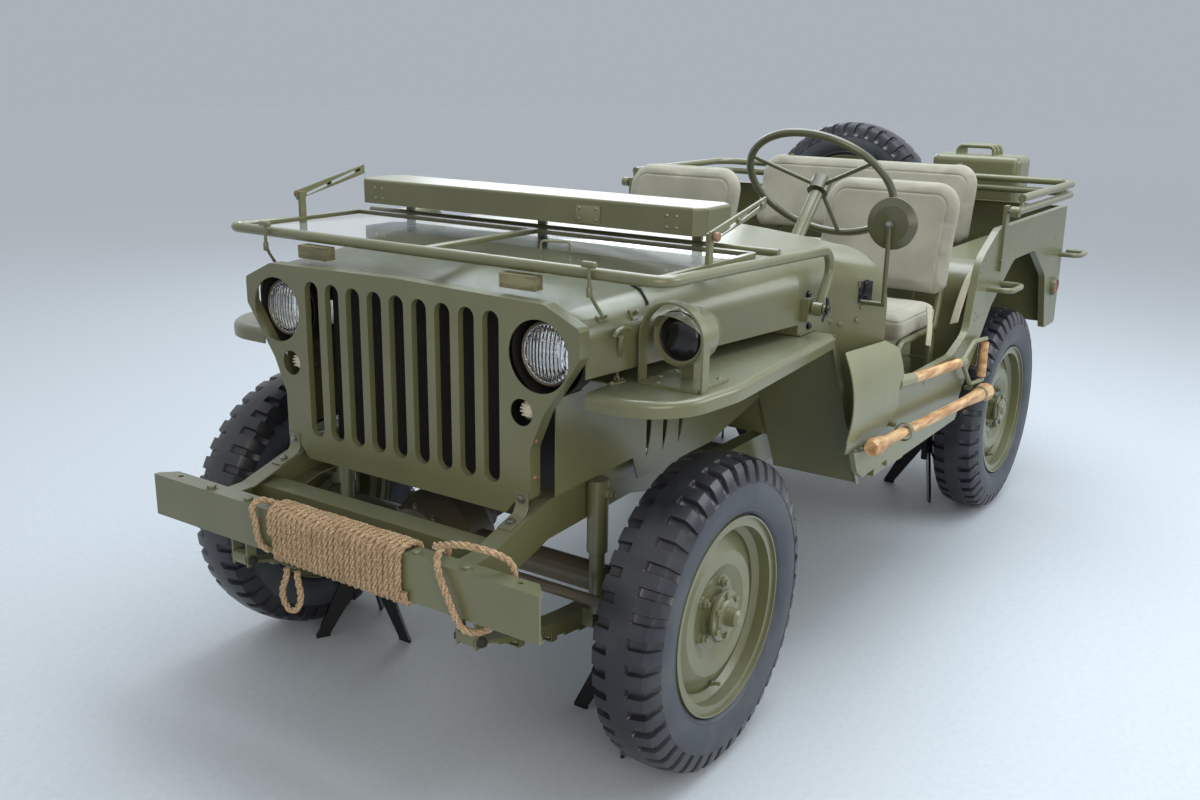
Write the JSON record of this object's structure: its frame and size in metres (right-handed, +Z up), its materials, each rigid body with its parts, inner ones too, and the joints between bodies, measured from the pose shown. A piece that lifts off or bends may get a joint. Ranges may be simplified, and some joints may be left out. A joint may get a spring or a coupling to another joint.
{
  "type": "army 4x4 car",
  "caption": "Open army 4x4 car with slotted grille, windscreen folded onto the hood, canvas seats, spare wheel, tools, and steered wheels that turn.",
  "frame": {"origin": "on the floor, midway between the bumper's face and the rearmost point, on the car's middle line", "axes": "+X forward along the car, +Y to the car's left, +Z up"},
  "size_m": [3.3137, 1.575, 1.3573],
  "materials": {
    "olive_paint": "satin olive drab paint",
    "lamp_glass": "clear ribbed lamp glass",
    "clear_glass": "clear flat glass",
    "black_steel": "gloss black paint",
    "cast_iron": "dark castings",
    "canvas": "khaki cotton canvas",
    "tyre_rubber": "black rubber",
    "tool_steel": "painted tool steel",
    "ash_wood": "oiled ash",
    "rope_fibre": "laid natural fibre"
  },
  "bodies": {
    "chassis_and_body": {"frame": "olive_paint", "front_bumper": "olive_paint", "grille": "olive_paint", "lamp_bodies": "olive_paint", "lamp_lenses": "lamp_glass", "radiator": "black_steel", "engine_and_gearbox": "cast_iron", "hood": "olive_paint", "cowl": "olive_paint", "body_floor": "olive_paint", "left_body_side": "olive_paint", "right_body_side": "olive_paint", "tail_panel": "olive_paint", "left_front_fender": "olive_paint", "right_front_fender": "olive_paint", "front_axle": "olive_paint", "rear_axle": "olive_paint", "springs_and_dampers": "olive_paint", "propeller_shafts": "black_steel", "exhaust": "black_steel", "fuel_tank": "olive_paint", "driver_controls": "olive_paint", "driver_seat_frame": "olive_paint", "driver_seat_pads": "canvas", "rear_seat_frame": "olive_paint", "rear_seat_pads": "canvas", "spare_tyre": "tyre_rubber", "spare_wheel": "olive_paint", "fuel_can": "olive_paint", "driving_mirror": "olive_paint", "tool_heads": "tool_steel", "tool_shafts": "ash_wood", "blackout_lamp": "olive_paint", "hood_blocks": "ash_wood", "axle_stands": "black_steel", "rope_winding": "rope_fibre", "rope_start": "rope_fibre", "rope_bight": "rope_fibre", "rope_end": "rope_fibre"},
    "left_front_wheel": {"front_left_tyre": "tyre_rubber", "front_left_wheel": "olive_paint"},
    "right_front_wheel": {"front_right_tyre": "tyre_rubber", "front_right_wheel": "olive_paint"},
    "left_rear_wheel": {"rear_left_tyre": "tyre_rubber", "rear_left_wheel": "olive_paint"},
    "right_rear_wheel": {"rear_right_tyre": "tyre_rubber", "rear_right_wheel": "olive_paint"},
    "left_knuckle": {"left_steering_knuckle": "olive_paint"},
    "right_knuckle": {"right_steering_knuckle": "olive_paint"},
    "track_rod": {"tie_rod": "olive_paint"},
    "steering": {"steering_wheel": "olive_paint"},
    "windscreen": {"windscreen_frame": "olive_paint", "windscreen_inner_frame": "olive_paint", "windscreen_glass": "clear_glass", "windscreen_rack": "olive_paint"},
    "passenger_seat": {"passenger_seat_frame": "olive_paint", "passenger_seat_pads": "canvas"},
    "bows": {"top_bows": "olive_paint"}
  },
  "joints": [
    {"name": "left_steer", "type": "hinge", "parent": "chassis_and_body", "child": "left_knuckle", "pos_m": [1.112, 0.52, 0.357], "axis": [0, 0, 1], "range_deg": [-25, 25]},
    {"name": "right_steer", "type": "hinge", "parent": "chassis_and_body", "child": "right_knuckle", "pos_m": [1.112, -0.52, 0.357], "axis": [0, 0, 1], "range_deg": [-25, 25]},
    {"name": "tie_rod_slide", "type": "slide", "parent": "chassis_and_body", "child": "track_rod", "axis": [0, 1, 0], "range_m": [-0.08, 0.08]},
    {"name": "steering_wheel_turn", "type": "hinge", "parent": "chassis_and_body", "child": "steering", "pos_m": [0.037, 0.36, 1.195], "axis": [-0.7071, 0, 0.7071], "range_deg": [-350, 350]},
    {"name": "front_left_wheel_spin", "type": "hinge", "parent": "left_knuckle", "child": "left_front_wheel", "pos_m": [1.112, 0.6225, 0.357], "axis": [0, 1, 0], "continuous": true},
    {"name": "front_right_wheel_spin", "type": "hinge", "parent": "right_knuckle", "child": "right_front_wheel", "pos_m": [1.112, -0.6225, 0.357], "axis": [0, 1, 0], "continuous": true},
    {"name": "rear_left_wheel_spin", "type": "hinge", "parent": "chassis_and_body", "child": "left_rear_wheel", "pos_m": [-0.92, 0.6225, 0.357], "axis": [0, 1, 0], "continuous": true},
    {"name": "rear_right_wheel_spin", "type": "hinge", "parent": "chassis_and_body", "child": "right_rear_wheel", "pos_m": [-0.92, -0.6225, 0.357], "axis": [0, 1, 0], "continuous": true},
    {"name": "windscreen_fold", "type": "hinge", "parent": "chassis_and_body", "child": "windscreen", "pos_m": [0.607, 0, 0.955], "axis": [0, -1, 0], "range_deg": [0, 97]},
    {"name": "top_bow_swing", "type": "hinge", "parent": "chassis_and_body", "child": "bows", "pos_m": [-0.628, 0, 1.086], "axis": [0, 1, 0], "range_deg": [0, 75]},
    {"name": "passenger_seat_tip", "type": "hinge", "parent": "chassis_and_body", "child": "passenger_seat", "pos_m": [-0.048, -0.365, 0.56], "axis": [0, 1, 0], "range_deg": [0, 40]}
  ],
  "couplings": [
    {"joint": "right_steer", "follows": "left_steer", "ratio": 1},
    {"joint": "tie_rod_slide", "follows": "left_steer", "m_per_rad": 0.165},
    {"joint": "steering_wheel_turn", "follows": "left_steer", "ratio": 13.5}
  ]
}
